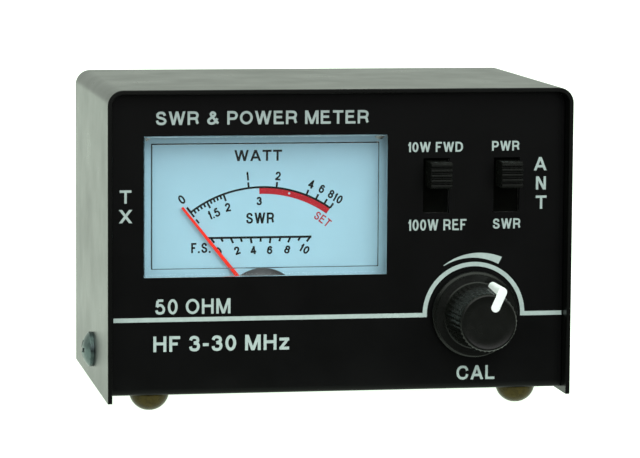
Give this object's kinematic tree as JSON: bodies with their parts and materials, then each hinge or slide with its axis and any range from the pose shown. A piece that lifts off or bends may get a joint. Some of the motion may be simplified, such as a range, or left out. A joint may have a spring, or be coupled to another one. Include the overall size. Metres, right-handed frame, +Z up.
{
  "type": "swr meter",
  "caption": "Bench-top SWR and power meter in a folded sheet-metal case, with a moving-coil meter, slide switches, a calibration knob and rear UHF sockets.",
  "frame": {"origin": "on the surface it stands on, under the middle of the box round the whole object", "axes": "+X to the right seen from the front, +Y to the rear, +Z up; the front panel faces -Y"},
  "size_m": [0.11, 0.0916, 0.0724],
  "materials": {
    "cover_paint": "satin black paint on steel",
    "panel_paint": "satin black paint on steel",
    "black_screw": "blackened steel",
    "bright_screw": "bright zinc plate",
    "foot_rubber": "translucent amber rubber",
    "clear_plastic": "clear moulded acrylic",
    "black_plastic": "matte moulded",
    "dial_print": "white-painted and printed",
    "pointer_red": "red enamel",
    "brass": "satin",
    "copper": "enamelled or bare copper",
    "magnet": "ground",
    "plated_steel": "zinc plate",
    "knob_plastic": "satin phenolic black",
    "inlay_white": "white moulded",
    "nickel": "nickel plate",
    "gold_contact": "gold flash",
    "phenolic": "phenolic laminate",
    "ptfe": "white PTFE",
    "component": "lacquered",
    "trimmer_plastic": "blue moulded",
    "rotor_plastic": "white moulded",
    "wire_insulation": "PVC"
  },
  "bodies": {
    "case": {"cover": "cover_paint", "chassis": "panel_paint", "cover_screws": "black_screw", "feet": "foot_rubber", "m3_screws": "bright_screw", "m3_nuts": "bright_screw", "meter_window": "clear_plastic", "meter_housing": "black_plastic", "dial_plate": "dial_print", "dial_screws": "bright_screw", "hairsprings": "brass", "core_magnet": "magnet", "core_spacers": "brass", "yoke_ring": "magnet", "bridge_posts": "brass", "movement_bridges": "brass", "jewel_screws": "brass", "zero_regulator": "brass", "meter_studs": "black_screw", "meter_bracket": "plated_steel", "solder_lugs": "plated_steel", "pot_bushing": "plated_steel", "pot_case": "plated_steel", "pot_wafer": "phenolic", "pot_terminals": "plated_steel", "pot_nut": "nickel", "pot_washer": "nickel", "range_frame": "plated_steel", "function_frame": "plated_steel", "switch_bases": "phenolic", "switch_pins": "plated_steel", "switch_board": "phenolic", "board_posts": "plated_steel", "board_screws": "bright_screw", "tx_socket_shell": "nickel", "ant_socket_shell": "nickel", "socket_insulators": "ptfe", "tx_contact": "gold_contact", "ant_contact": "gold_contact", "coupler_board": "phenolic", "line_strips": "copper", "diodes": "component", "resistors": "component", "capacitors": "component", "trimmer_bases": "trimmer_plastic", "wires": "wire_insulation"},
    "pointer_unit": {"pointer": "pointer_red", "balance_weight": "brass", "moving_coil": "copper", "arbor": "plated_steel"},
    "cal_knob": {"knob": "knob_plastic", "knob_pointer": "inlay_white", "pot_shaft": "plated_steel", "pot_wiper": "copper"},
    "range_switch": {"range_slider": "knob_plastic", "range_contacts": "copper"},
    "function_switch": {"function_slider": "knob_plastic", "function_contacts": "copper"},
    "forward_rotor": {"forward_trimmer": "rotor_plastic"},
    "reflected_rotor": {"reflected_trimmer": "rotor_plastic"}
  },
  "joints": [
    {"name": "pointer_swing", "type": "hinge", "parent": "case", "child": "pointer_unit", "pos_m": [-0.0166, -0.0252, 0.02276], "axis": [0, 1, 0], "range_deg": [0, 74], "stiffness_Nm_per_rad": 0.000012, "deforming": ["hairsprings"]},
    {"name": "cal_turn", "type": "hinge", "parent": "case", "child": "cal_knob", "pos_m": [0.0309, -0.0302, 0.02115], "axis": [0, 1, 0], "range_deg": [-174, 126]},
    {"name": "range_slide", "type": "slide", "parent": "case", "child": "range_switch", "axis": [0, 0, -1], "range_m": [0, 0.0055]},
    {"name": "function_slide", "type": "slide", "parent": "case", "child": "function_switch", "axis": [0, 0, -1], "range_m": [0, 0.0055]},
    {"name": "forward_trim", "type": "hinge", "parent": "case", "child": "forward_rotor", "pos_m": [-0.014, 0.016, 0.03], "axis": [0, 1, 0], "range_deg": [-120, 120]},
    {"name": "reflected_trim", "type": "hinge", "parent": "case", "child": "reflected_rotor", "pos_m": [0.014, 0.016, 0.03], "axis": [0, 1, 0], "range_deg": [-120, 120]}
  ]
}
